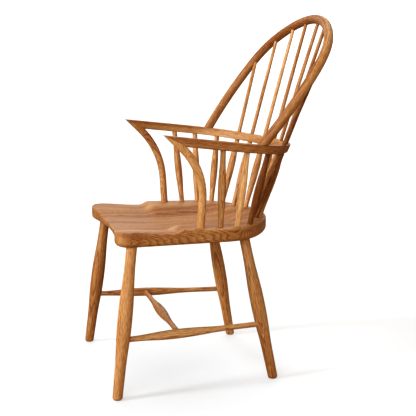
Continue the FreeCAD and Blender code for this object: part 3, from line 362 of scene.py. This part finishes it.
# %% Coordinates of a post before it was bent
POST_BASE = Vector((228.3, -82.9, 461)) * MM
POST_RADIUS = 215 * MM
ARC_START = 490 * MM
POST_SPREAD = 0.24           # a post leans out by this much for its height
ARC_LIMIT = 0.8 * POST_RADIUS    # just past the arc's end; further up the root would fail


def unbent_post(tree, side):
    """The chair's coordinates, drawn so that the post of this side stands straight."""
    chair = add_node(tree, "ShaderNodeTexCoord")
    place = add_node(tree, "ShaderNodeSeparateXYZ", {0: chair.outputs["Object"]})
    above = add_node(tree, "ShaderNodeMath", {0: place.outputs["Z"], 1: ARC_START},
                     operation="SUBTRACT")
    in_arc = add_node(tree, "ShaderNodeClamp", {0: above.outputs[0], 1: 0, 2: ARC_LIMIT})
    squared = add_node(tree, "ShaderNodeMath", {0: in_arc.outputs[0], 1: 2}, operation="POWER")
    left_over = add_node(tree, "ShaderNodeMath", {0: POST_RADIUS ** 2, 1: squared.outputs[0]},
                         operation="SUBTRACT")
    root = add_node(tree, "ShaderNodeMath", {0: left_over.outputs[0]}, operation="SQRT")
    forward = add_node(tree, "ShaderNodeMath", {0: POST_RADIUS, 1: root.outputs[0]},
                       operation="SUBTRACT")
    rise = add_node(tree, "ShaderNodeMath", {0: place.outputs["Z"], 1: POST_BASE.z},
                    operation="SUBTRACT")
    out = add_node(tree, "ShaderNodeMath", {
        0: rise.outputs[0], 1: -side * POST_SPREAD, 2: place.outputs["X"]}, operation="MULTIPLY_ADD")
    back = add_node(tree, "ShaderNodeMath", {0: place.outputs["Y"], 1: forward.outputs[0]})
    return add_node(tree, "ShaderNodeCombineXYZ", {
        0: out.outputs[0], 1: back.outputs[0], 2: place.outputs["Z"]}).outputs[0]


print("a post is straight for the first", round((ARC_START - POST_BASE.z) / MM), "mm")

# %% Oak for the arm posts
POST_HEART_OUT = 40 * MM
POST_HEART_BACK = 45 * MM
POSTS = (("left_arm_post", 1, 1.2), ("right_arm_post", -1, 0.98))
for number, (name, side, tone) in enumerate(POSTS):
    oak = new_material("bent_oiled_oak_" + name)
    up_the_tree = 5 + number
    heart = Vector((side * (POST_BASE.x + POST_HEART_OUT), POST_BASE.y + POST_HEART_BACK, up_the_tree))
    grain = add_node(oak.node_tree, "ShaderNodeMapping", {
        "Vector": unbent_post(oak.node_tree, side), "Location": heart}, vector_type="TEXTURE")
    grow_oak(oak, grain.outputs["Vector"], tone)
    dress(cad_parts[name], oak)
print("arm posts:", len(POSTS))

# %% [markdown]
# ## Bent bars
# The arm bow and the back bow are straight bars that were steamed and bent round a form.  Both
# are one rule: a section pushed along a line.  Geometry Nodes make them from the line of the
# form, and keep two facts on the way, how far along the bar a point is and where it lies in the
# section, which together are the coordinates of the bar before it was bent.  The ends are then
# sawn: the last ring of points slides along the bar to the plane of the saw.

# %% The bending rule and its values
rule = bpy.data.node_groups.new("Bent bar", "GeometryNodeTree")
RULE_VALUES = (
    ("Form line", "NodeSocketGeometry"), ("Width", "NodeSocketFloat"),
    ("Thickness", "NodeSocketFloat"), ("Edge round", "NodeSocketFloat"),
    ("Lean", "NodeSocketFloat"), ("Drop", "NodeSocketFloat"), ("Saw point", "NodeSocketVector"),
    ("Saw normal", "NodeSocketVector"), ("Place", "NodeSocketVector"),
    ("Turn", "NodeSocketVector"), ("Wood", "NodeSocketMaterial"))
for name, kind in RULE_VALUES:
    rule.interface.new_socket(name, in_out="INPUT", socket_type=kind)
rule.interface.new_socket("Bar", in_out="OUTPUT", socket_type="NodeSocketGeometry")
given = add_node(rule, "NodeGroupInput").outputs
print("the bending rule takes", len(RULE_VALUES), "values")

# %% Push the section along the form line
CORNER_STEPS = 7
line = add_node(rule, "GeometryNodeSetCurveNormal", {"Curve": given["Form line"]}, mode="Z_UP")
travelled = add_node(rule, "GeometryNodeSplineParameter").outputs["Length"]
heading = add_node(rule, "GeometryNodeInputTangent").outputs["Tangent"]
ends = add_node(rule, "GeometryNodeCurveEndpointSelection").outputs["Selection"]
for name, kind, value in (("travelled", "FLOAT", travelled), ("heading", "FLOAT_VECTOR", heading),
                          ("sawn", "BOOLEAN", ends)):
    line = add_node(rule, "GeometryNodeStoreNamedAttribute", {
        "Geometry": line.outputs[0], "Name": name, "Value": value}, data_type=kind)

section = add_node(rule, "GeometryNodeCurvePrimitiveQuadrilateral", {
    "Width": given["Width"], "Height": given["Thickness"]})
section = add_node(rule, "GeometryNodeFilletCurve", {
    "Curve": section.outputs[0], "Radius": given["Edge round"], "Count": CORNER_STEPS}, mode="POLY")
spot = add_node(rule, "GeometryNodeInputPosition").outputs[0]
section = add_node(rule, "GeometryNodeStoreNamedAttribute", {
    "Geometry": section.outputs[0], "Name": "spot", "Value": spot}, data_type="FLOAT_VECTOR")
bar = add_node(rule, "GeometryNodeCurveToMesh", {
    "Curve": line.outputs[0], "Profile Curve": section.outputs[0], "Fill Caps": True})
bar = add_node(rule, "GeometryNodeMergeByDistance", {
    "Geometry": bar.outputs[0], "Distance": 0.01 * MM})
print("each corner of the section is rounded in", CORNER_STEPS, "steps")

# %% Lean the bar
kept = {name: add_node(rule, "GeometryNodeInputNamedAttribute", {"Name": name},
                       data_type=kind).outputs["Attribute"]
        for name, kind in (("travelled", "FLOAT"), ("heading", "FLOAT_VECTOR"),
                           ("sawn", "BOOLEAN"), ("spot", "FLOAT_VECTOR"))}
position = add_node(rule, "GeometryNodeInputPosition").outputs[0]
high = add_node(rule, "ShaderNodeSeparateXYZ", {0: position}).outputs["Z"]
lowered = add_node(rule, "ShaderNodeMath", {0: high, 1: given["Drop"]}, operation="SUBTRACT")
leaning = add_node(rule, "ShaderNodeMath", {0: lowered.outputs[0], 1: given["Lean"]},
                   operation="MULTIPLY")
sunk = add_node(rule, "ShaderNodeMath", {0: 0.0, 1: given["Drop"]}, operation="SUBTRACT")
shift = add_node(rule, "ShaderNodeCombineXYZ", {1: leaning.outputs[0], 2: sunk.outputs[0]})
bar = add_node(rule, "GeometryNodeSetPosition", {
    "Geometry": bar.outputs[0], "Offset": shift.outputs[0]})
print("kept from the straight bar:", ", ".join(kept))

# %% Saw its ends
to_saw = add_node(rule, "ShaderNodeVectorMath", {0: given["Saw point"], 1: position},
                  operation="SUBTRACT")
short = add_node(rule, "ShaderNodeVectorMath", {0: to_saw.outputs[0], 1: given["Saw normal"]},
                 operation="DOT_PRODUCT")
pace = add_node(rule, "ShaderNodeVectorMath", {0: kept["heading"], 1: given["Saw normal"]},
                operation="DOT_PRODUCT")
steps = add_node(rule, "ShaderNodeMath", {0: short.outputs["Value"], 1: pace.outputs["Value"]},
                 operation="DIVIDE")
slide = add_node(rule, "ShaderNodeVectorMath", {0: kept["heading"], "Scale": steps.outputs[0]},
                 operation="SCALE")
bar = add_node(rule, "GeometryNodeSetPosition", {
    "Geometry": bar.outputs[0], "Selection": kept["sawn"], "Offset": slide.outputs[0]})
print("with lean and saw cuts the rule has", len(rule.nodes), "nodes")

# %% Keep the grain, then place and finish the bar
spot = add_node(rule, "ShaderNodeSeparateXYZ", {0: kept["spot"]})
unbent = add_node(rule, "ShaderNodeCombineXYZ", {
    0: spot.outputs["X"], 1: spot.outputs["Y"], 2: kept["travelled"]})
bar = add_node(rule, "GeometryNodeStoreNamedAttribute", {
    "Geometry": bar.outputs[0], "Name": "grain", "Value": unbent.outputs[0]},
    data_type="FLOAT_VECTOR")
bar = add_node(rule, "GeometryNodeTransform", {
    "Geometry": bar.outputs[0], "Translation": given["Place"], "Rotation": given["Turn"]})
bar = add_node(rule, "GeometryNodeSetShadeSmooth", {"Geometry": bar.outputs[0]})
bar = add_node(rule, "GeometryNodeRealizeInstances", {"Geometry": bar.outputs[0]})
bar = add_node(rule, "GeometryNodeSetMaterial", {
    "Geometry": bar.outputs[0], "Material": given["Wood"]})
add_node(rule, "NodeGroupOutput", {0: bar.outputs[0]})
print("the bending rule has", len(rule.nodes), "nodes")

# %% Form lines
STEP = 6 * MM                # from one point of a form line to the next


def arc(centre, radius, start, end):
    """Points of an arc between two angles, about a step apart."""
    count = max(2, round(abs(end - start) * radius / STEP))
    angles = [start + (end - start) * i / count for i in range(count + 1)]
    return [Vector((centre[0] + radius * math.cos(a), centre[1] + radius * math.sin(a)))
            for a in angles]


def both_sides(left_half):
    """The line of the left half, then its mirror, without its middle point twice."""
    return left_half + [Vector((-p.x, p.y)) for p in reversed(left_half[:-1])]


print("a quarter turn of 160 mm has", len(arc((0, 0), 160 * MM, 0, math.pi / 2)), "points")

# %% From a form line to a finished bar
SHARP = math.radians(40)     # faces that meet at more than this keep a crisp edge


def bend_bar(name, line, values):
    """The bar that the rule makes on this line, as a plain mesh."""
    curve = bpy.data.curves.new(name + "_line", "CURVE")
    curve.dimensions = "3D"
    spline = curve.splines.new("POLY")
    spline.points.add(len(line) - 1)
    for point, spot in zip(spline.points, line):
        point.co = (spot.x, spot.y, 0, 1)
    form = put_in_scene(name + "_line", curve)
    bending = form.modifiers.new("Bending", "NODES")
    bending.node_group = rule
    for socket in rule.interface.items_tree:
        if socket.name in values:
            bending[socket.identifier] = values[socket.name]
    settled = form.evaluated_get(bpy.context.evaluated_depsgraph_get())
    mesh = bpy.data.meshes.new_from_object(settled)
    mesh.name = name
    bpy.data.objects.remove(form)
    mesh.set_sharp_from_angle(angle=SHARP)
    piece = put_in_scene(name, mesh)
    even = piece.modifiers.new("Even flats", "WEIGHTED_NORMAL")
    even.keep_sharp = True
    return piece


def bent_oak(name, heart_x, heart_y, up_the_tree, tone):
    """Oak whose grain follows the bar: it reads the coordinates kept by the bending rule."""
    oak = new_material(name)
    unbent_bar = add_node(oak.node_tree, "ShaderNodeAttribute", attribute_name="grain")
    grain = add_node(oak.node_tree, "ShaderNodeMapping", {
        "Vector": unbent_bar.outputs["Vector"], "Location": (heart_x, heart_y, -up_the_tree)},
        vector_type="TEXTURE")
    grow_oak(oak, grain.outputs["Vector"], tone)
    return oak


print("edges sharper than", round(math.degrees(SHARP)), "degrees stay crisp")

# %% [markdown]
# ## Arm bow
# One bar of 25 by 24 mm goes from one arm round the back to the other.  In plan it is three
# curves: a nearly straight arm, a tight corner and a flatter back.  The whole bow falls to the
# back and its upright faces lean back.  At the front both arms are sawn to a long mitre that
# meets the arm post in a sharp tip.

# %% Form line of the arm bow
HALF_SPAN = 288.4 * MM
WIDE_PLACE = 22.9 * MM       # how far back the bow is at its widest
SIDE_RADIUS = 2200 * MM
CORNER_RADIUS = 160 * MM
BACK_REACH = 206.5 * MM      # from the widest line to the back of the bow
TIP_REACH = 222 * MM         # from the widest line to the tip of an arm
BEHIND_MITRE = 145 * MM      # from the widest line forward to the last whole section

inward = HALF_SPAN - CORNER_RADIUS
back_radius = (inward ** 2 + BACK_REACH ** 2 - CORNER_RADIUS ** 2) / (
    2 * (BACK_REACH - CORNER_RADIUS))
back_centre = WIDE_PLACE + BACK_REACH - back_radius
turned_by = math.atan2(WIDE_PLACE - back_centre, inward)
tip_angle = -math.asin(TIP_REACH / SIDE_RADIUS)
last_angle = -math.asin(BEHIND_MITRE / SIDE_RADIUS)
side_centre = (HALF_SPAN - SIDE_RADIUS, WIDE_PLACE)
tip = Vector((side_centre[0] + SIDE_RADIUS * math.cos(tip_angle), WIDE_PLACE - TIP_REACH))
left_arm = [tip] + arc(side_centre, SIDE_RADIUS, last_angle, 0)
left_arm += arc((inward, WIDE_PLACE), CORNER_RADIUS, 0, turned_by)[1:]
left_arm += arc((0, back_centre), back_radius, turned_by, math.pi / 2)[1:]
print("half an arm bow has", len(left_arm), "points, back radius", round(back_radius / MM), "mm")

# %% Bend the arm bow
ARM_WIDTH = 25.4 * MM
ARM_THICKNESS = 24.3 * MM
ARM_EDGE = 3 * MM
ARM_HEIGHT = 704.1 * MM      # of its top above the floor, in the middle of the chair
ARM_LEAN = math.radians(18)
ARM_SLOPE = math.radians(6.8)
MITRE_SLOPE = math.radians(27) - ARM_SLOPE    # 27 degrees to the floor, here to the arm

arm_bow = bend_bar("bent_arm_bow", both_sides(left_arm), {
    "Width": ARM_WIDTH, "Thickness": ARM_THICKNESS, "Edge round": ARM_EDGE,
    "Lean": math.tan(ARM_LEAN), "Drop": ARM_THICKNESS / 2,
    "Saw point": (0, WIDE_PLACE - TIP_REACH, 0),
    "Saw normal": (0, math.sin(MITRE_SLOPE), math.cos(MITRE_SLOPE)),
    "Place": (0, 0, ARM_HEIGHT), "Turn": (-ARM_SLOPE, 0, 0),
    "Wood": bent_oak("bent_oiled_oak_arm_bow", heart_x=30 * MM, heart_y=55 * MM, up_the_tree=8,
                     tone=0.96)})
print("arm bow:", len(arm_bow.data.polygons), "faces")

# %% [markdown]
# ## Back bow
# A round bar of 27 mm rises from one arm, over the sitter's shoulders and down to the other arm.
# Its plane leans back, and its line is again a few arcs that touch: side, shoulder and crest.
# The same bending rule makes it, with edges so round that the section is a circle, and the saw
# cuts its feet to sit flat on the arm bow.

# %% Form line of the back bow
BOW_HALF_WIDTH = 300 * MM
BOW_HEIGHT = 427.5 * MM
BOW_WIDE_HEIGHT = 146 * MM   # how far up the bow is at its widest
BOW_SIDE_RADIUS = 520 * MM
BOW_SHOULDER_RADIUS = 165 * MM
BOW_CREST_RADIUS = 380 * MM

side = Vector((BOW_HALF_WIDTH - BOW_SIDE_RADIUS, BOW_WIDE_HEIGHT))
crest = Vector((0, BOW_HEIGHT - BOW_CREST_RADIUS))
from_side = BOW_SIDE_RADIUS - BOW_SHOULDER_RADIUS
from_crest = BOW_CREST_RADIUS - BOW_SHOULDER_RADIUS
between = crest - side
apart = between.length
ahead = (apart ** 2 + from_side ** 2 - from_crest ** 2) / (2 * apart)
aside = math.sqrt(from_side ** 2 - ahead ** 2)
ahead_way = between / apart
shoulder = side + ahead_way * ahead + Vector((-ahead_way.y, ahead_way.x)) * aside


def angle_of(way):
    """The angle from X to this direction."""
    return math.atan2(way.y, way.x)


foot_angle = -math.asin(BOW_WIDE_HEIGHT / BOW_SIDE_RADIUS)
side_angle = angle_of(shoulder - side)
crest_angle = angle_of(shoulder - crest)
left_bow = arc(side, BOW_SIDE_RADIUS, foot_angle, side_angle)
left_bow += arc(shoulder, BOW_SHOULDER_RADIUS, side_angle, crest_angle)[1:]
left_bow += arc(crest, BOW_CREST_RADIUS, crest_angle, math.pi / 2)[1:]
print("half a back bow has", len(left_bow), "points")

# %% Bend the back bow
BOW_DIAMETER = 26.8 * MM
BOW_EDGE = 0.499 * BOW_DIAMETER    # nearly half, so that no flats are left
BOW_LEAN = math.radians(36.2)
BOW_FOOT_PLACE = 79.4 * MM         # how far back it stands on the arm bow

bow_up = math.pi / 2 - BOW_LEAN
bow_place = Vector((0, BOW_FOOT_PLACE, ARM_HEIGHT - BOW_FOOT_PLACE * math.tan(ARM_SLOPE)))
top_of_arm = Euler((-ARM_SLOPE - bow_up, 0, 0)).to_matrix() @ Vector((0, 0, 1))
back_bow = bend_bar("bent_back_bow", both_sides(left_bow), {
    "Width": BOW_DIAMETER, "Thickness": BOW_DIAMETER, "Edge round": BOW_EDGE,
    "Lean": 0.0, "Drop": 0.0, "Saw point": (0, 0, 0), "Saw normal": top_of_arm,
    "Place": bow_place, "Turn": (bow_up, 0, 0),
    "Wood": bent_oak("bent_oiled_oak_back_bow", heart_x=25 * MM, heart_y=-60 * MM, up_the_tree=9,
                     tone=0.93)})
print("back bow:", len(back_bow.data.polygons), "faces")

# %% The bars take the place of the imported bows
for piece, node_name in ((arm_bow, "arm_bow"), (back_bow, "back_bow")):
    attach(piece, "root")
    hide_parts(node_name)
    low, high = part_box(node_name)
    corners = [Vector(c) for c in piece.bound_box]
    print(node_name, "differs from the packed box by", [round(max(
        abs(min(c[i] for c in corners) - low[i]),
        abs(max(c[i] for c in corners) - high[i])) / MM, 2) for i in range(3)], "mm")

# %% [markdown]
# ## Floor, light and camera
# The photograph is a catalogue picture on a white sweep.  One large soft lamp stands on the
# left and another in front, with weaker ones above and behind.  Suns with wide discs stand for
# them, because they light the whole floor evenly.  The picture is printed with strong contrast,
# so its shaded sides are deep and warm.  That is why the floor and the walls are white to the
# camera, but darker and warmer for the light that they throw back on the chair, and why the look
# is High Contrast.  The camera stands and aims as a fit to points of the photograph gave it.

# %% White floor
def by_ray(tree, kind, yes, no):
    """One colour for the light rays of this kind, and another for all the rest."""
    this_kind = add_node(tree, "ShaderNodeLightPath").outputs[kind]
    return add_node(tree, "ShaderNodeMix", {0: this_kind, 6: no, 7: yes}, data_type="RGBA").outputs[2]


HALF_FLOOR = 30              # metres, so that its end is far out of sight
WARM_BOUNCE = (0.37, 0.26, 0.15, 1)
floor_mesh = bpy.data.meshes.new("floor")
floor_mesh.from_pydata([(-HALF_FLOOR, -HALF_FLOOR, 0), (HALF_FLOOR, -HALF_FLOOR, 0),
                        (HALF_FLOOR, HALF_FLOOR, 0), (-HALF_FLOOR, HALF_FLOOR, 0)],
                       [], [(0, 1, 2, 3)])
floor = put_in_scene("floor", floor_mesh)
paint = new_material("white_studio_floor")
surface = paint.node_tree.nodes["Principled BSDF"]
surface.inputs["Roughness"].default_value = 0.9
surface.inputs["Emission Color"].default_value = (1, 1, 1, 1)
for socket, seen, thrown in (("Base Color", shade(0.46), WARM_BOUNCE),
                             ("Emission Strength", shade(0.33), shade(0))):
    paint.node_tree.links.new(by_ray(paint.node_tree, "Is Camera Ray", seen, thrown),
                              surface.inputs[socket])
dress(floor, paint)
print("the floor is", 2 * HALF_FLOOR, "m wide")

# %% White walls
WARM_WALLS = (0.1, 0.07, 0.04, 1)
world = bpy.data.worlds.new("white walls")
world.use_nodes = True
bpy.context.scene.world = world
mirrored = by_ray(world.node_tree, "Is Glossy Ray", shade(0.6), WARM_WALLS)
world.node_tree.links.new(by_ray(world.node_tree, "Is Camera Ray", shade(1), mirrored),
                          world.node_tree.nodes["Background"].inputs["Color"])
print("the walls light the chair with", WARM_WALLS[:3])

# %% Soft lights
COOL = (0.9, 1, 1.08)
PLAIN = (1, 1, 1)
WARM = (1, 0.8, 0.55)
SUNS = (                     # strength, width of the disc in degrees, direction and colour
    ("key light", 1.7, 13, (0.06, -0.88, 0.45), COOL),
    ("front light", 2.0, 50, (0.8, -0.48, 0.36), COOL),
    ("top light", 0.95, 55, (-0.35, 0.1, 0.93), PLAIN),
    ("fill light", 0.28, 60, (0.6, 0.75, 0.25), WARM),
    ("back light", 0.62, 60, (-0.88, 0.15, 0.32), PLAIN),
)
for name, strength, disc, towards, colour in SUNS:
    sun = bpy.data.lights.new(name, "SUN")
    sun.energy = strength
    sun.color = colour
    sun.angle = math.radians(disc)
    lamp = put_in_scene(name, sun)
    lamp.rotation_euler = Vector(towards).to_track_quat("Z", "Y").to_euler()
print("soft lights:", len(SUNS))

# %% Camera and contrast
scene = bpy.context.scene
scene.view_settings.view_transform = "Standard"
scene.view_settings.look = "High Contrast"
camera_data = bpy.data.cameras.new("camera")
camera_data.sensor_width = 36
camera_data.lens = 80.91
camera = put_in_scene("camera", camera_data)
right = Vector((0.2649, 0.9643, 0))
onward = Vector((-0.94974, 0.26093, -0.17298)).normalized()
up = right.cross(onward).normalized()
camera.matrix_world = Matrix((right, up, -onward)).transposed().to_4x4()
camera.location = (2.6946, -0.7391, 0.9666)
scene.camera = camera
print("camera", [round(v, 3) for v in camera.location])
